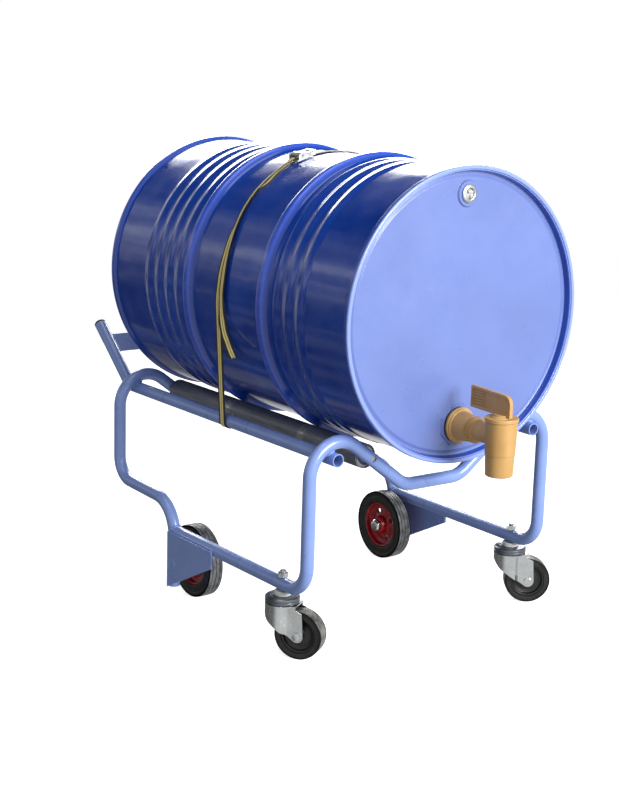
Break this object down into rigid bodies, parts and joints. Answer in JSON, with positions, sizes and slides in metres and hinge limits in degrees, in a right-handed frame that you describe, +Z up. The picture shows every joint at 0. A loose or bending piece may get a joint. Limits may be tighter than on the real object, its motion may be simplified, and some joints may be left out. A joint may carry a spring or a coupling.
{
  "type": "drum dolly",
  "caption": "Bent-tube cradle dolly on fixed wheels and swivel casters, carrying a strapped steel drum on rollers with a tap in its end.",
  "frame": {"origin": "on the floor, under the middle of the object's box as it stands with its casters swung", "axes": "+Z up, +Y from the tap towards the toe plate, +X to the right for someone who faces the tap"},
  "size_m": [0.7286, 1.1514, 0.982],
  "materials": {
    "frame_paint": "gloss powder coat, light blue",
    "drum_paint": "gloss stoved enamel, deep blue",
    "hub_paint": "gloss red enamel on pressed steel",
    "tyre_rubber": "satin black solid rubber",
    "roller_steel": "dull oiled steel tube",
    "black_rubber": "matt black rubber",
    "black_plastic": "moulded black plastic",
    "nylon": "natural nylon",
    "bright_chrome": "bright plated pressed cap",
    "tap_plastic": "satin ochre moulded plastic",
    "webbing": "woven polyester, yellow with black edges",
    "zinc_plate": "bright zinc-plated pressed steel",
    "bright_steel": "bright turned steel"
  },
  "bodies": {
    "frame": {"front_frame_tube": "frame_paint", "rear_frame_tube": "frame_paint", "toe_plate": "frame_paint", "left_side_tube": "frame_paint", "left_toe_plug": "black_rubber", "left_wheel_plate": "frame_paint", "left_rear_axle": "bright_steel", "left_axle_cap": "bright_chrome", "left_roller_axle": "bright_steel", "left_caster_bolt": "zinc_plate", "left_caster_nut": "zinc_plate", "left_caster_spacer": "nylon", "left_caster_race": "zinc_plate", "right_side_tube": "frame_paint", "right_toe_plug": "black_rubber", "right_wheel_plate": "frame_paint", "right_rear_axle": "bright_steel", "right_axle_cap": "bright_chrome", "right_roller_axle": "bright_steel", "right_caster_bolt": "zinc_plate", "right_caster_nut": "zinc_plate", "right_caster_spacer": "nylon", "right_caster_race": "zinc_plate", "strap_left": "webbing", "strap_right": "webbing", "strap_tail": "webbing", "buckle_frame": "zinc_plate", "buckle_pin": "zinc_plate"},
    "drum": {"drum_shell": "drum_paint", "drum_front_head": "drum_paint", "drum_rear_head": "drum_paint", "small_bung_plug": "bright_steel", "tap_gasket": "black_rubber", "tap_body": "tap_plastic"},
    "tap_key": {"tap_plug": "tap_plastic"},
    "buckle_cam": {"buckle_lever": "zinc_plate"},
    "left_roller": {"left_roller_tube": "roller_steel", "left_roller_front_bearing": "bright_steel", "left_roller_rear_bearing": "bright_steel"},
    "left_rear_wheel": {"left_rear_tyre": "tyre_rubber", "left_rear_hub": "hub_paint", "left_rear_bearing": "bright_steel"},
    "left_caster": {"left_caster_fork": "zinc_plate", "left_caster_ball_ring": "zinc_plate", "left_caster_axle_bolt": "zinc_plate", "left_caster_axle_nut": "zinc_plate"},
    "left_caster_wheel": {"left_caster_wheel_core": "black_plastic", "left_caster_tyre": "tyre_rubber"},
    "right_roller": {"right_roller_tube": "roller_steel", "right_roller_front_bearing": "bright_steel", "right_roller_rear_bearing": "bright_steel"},
    "right_rear_wheel": {"right_rear_tyre": "tyre_rubber", "right_rear_hub": "hub_paint", "right_rear_bearing": "bright_steel"},
    "right_caster": {"right_caster_fork": "zinc_plate", "right_caster_ball_ring": "zinc_plate", "right_caster_axle_bolt": "zinc_plate", "right_caster_axle_nut": "zinc_plate"},
    "right_caster_wheel": {"right_caster_wheel_core": "black_plastic", "right_caster_tyre": "tyre_rubber"}
  },
  "joints": [
    {"name": "drum_roll", "type": "hinge", "parent": "frame", "child": "drum", "pos_m": [-0.02234, 0.01026, 0.684], "axis": [0, 1, 0], "continuous": true},
    {"name": "left_roller_spin", "type": "hinge", "parent": "frame", "child": "left_roller", "pos_m": [-0.18306, 0.01775, 0.40336], "axis": [0, 1, 0], "continuous": true},
    {"name": "right_roller_spin", "type": "hinge", "parent": "frame", "child": "right_roller", "pos_m": [0.13839, 0.01775, 0.40336], "axis": [0, 1, 0], "continuous": true},
    {"name": "tap_turn", "type": "hinge", "parent": "drum", "child": "tap_key", "pos_m": [-0.02234, -0.54275, 0.4495], "axis": [0, 0, 1], "range_deg": [0, 90]},
    {"name": "left_wheel_spin", "type": "hinge", "parent": "frame", "child": "left_rear_wheel", "pos_m": [-0.28534, 0.1193, 0.08], "axis": [1, 0, 0], "continuous": true},
    {"name": "right_wheel_spin", "type": "hinge", "parent": "frame", "child": "right_rear_wheel", "pos_m": [0.24066, 0.1193, 0.08], "axis": [1, 0, 0], "continuous": true},
    {"name": "left_caster_swivel", "type": "hinge", "parent": "frame", "child": "left_caster", "pos_m": [-0.32933, -0.26775, 0.118], "axis": [0, 0, 1], "continuous": true},
    {"name": "left_caster_wheel_spin", "type": "hinge", "parent": "left_caster", "child": "left_caster_wheel", "pos_m": [-0.30755, -0.30129, 0.05], "axis": [0.8387, 0.5446, 0], "continuous": true},
    {"name": "right_caster_swivel", "type": "hinge", "parent": "frame", "child": "right_caster", "pos_m": [0.28467, -0.26775, 0.118], "axis": [0, 0, 1], "continuous": true},
    {"name": "right_caster_wheel_spin", "type": "hinge", "parent": "right_caster", "child": "right_caster_wheel", "pos_m": [0.31743, -0.29069, 0.05], "axis": [0.5736, 0.8192, 0], "continuous": true},
    {"name": "buckle_release", "type": "hinge", "parent": "frame", "child": "buckle_cam", "pos_m": [-0.11694, 0.01325, 0.96607], "axis": [0, -1, 0], "range_deg": [0, 75]}
  ],
  "couplings": [
    {"joint": "left_roller_spin", "follows": "drum_roll", "ratio": -11.92},
    {"joint": "right_roller_spin", "follows": "drum_roll", "ratio": -11.92}
  ]
}
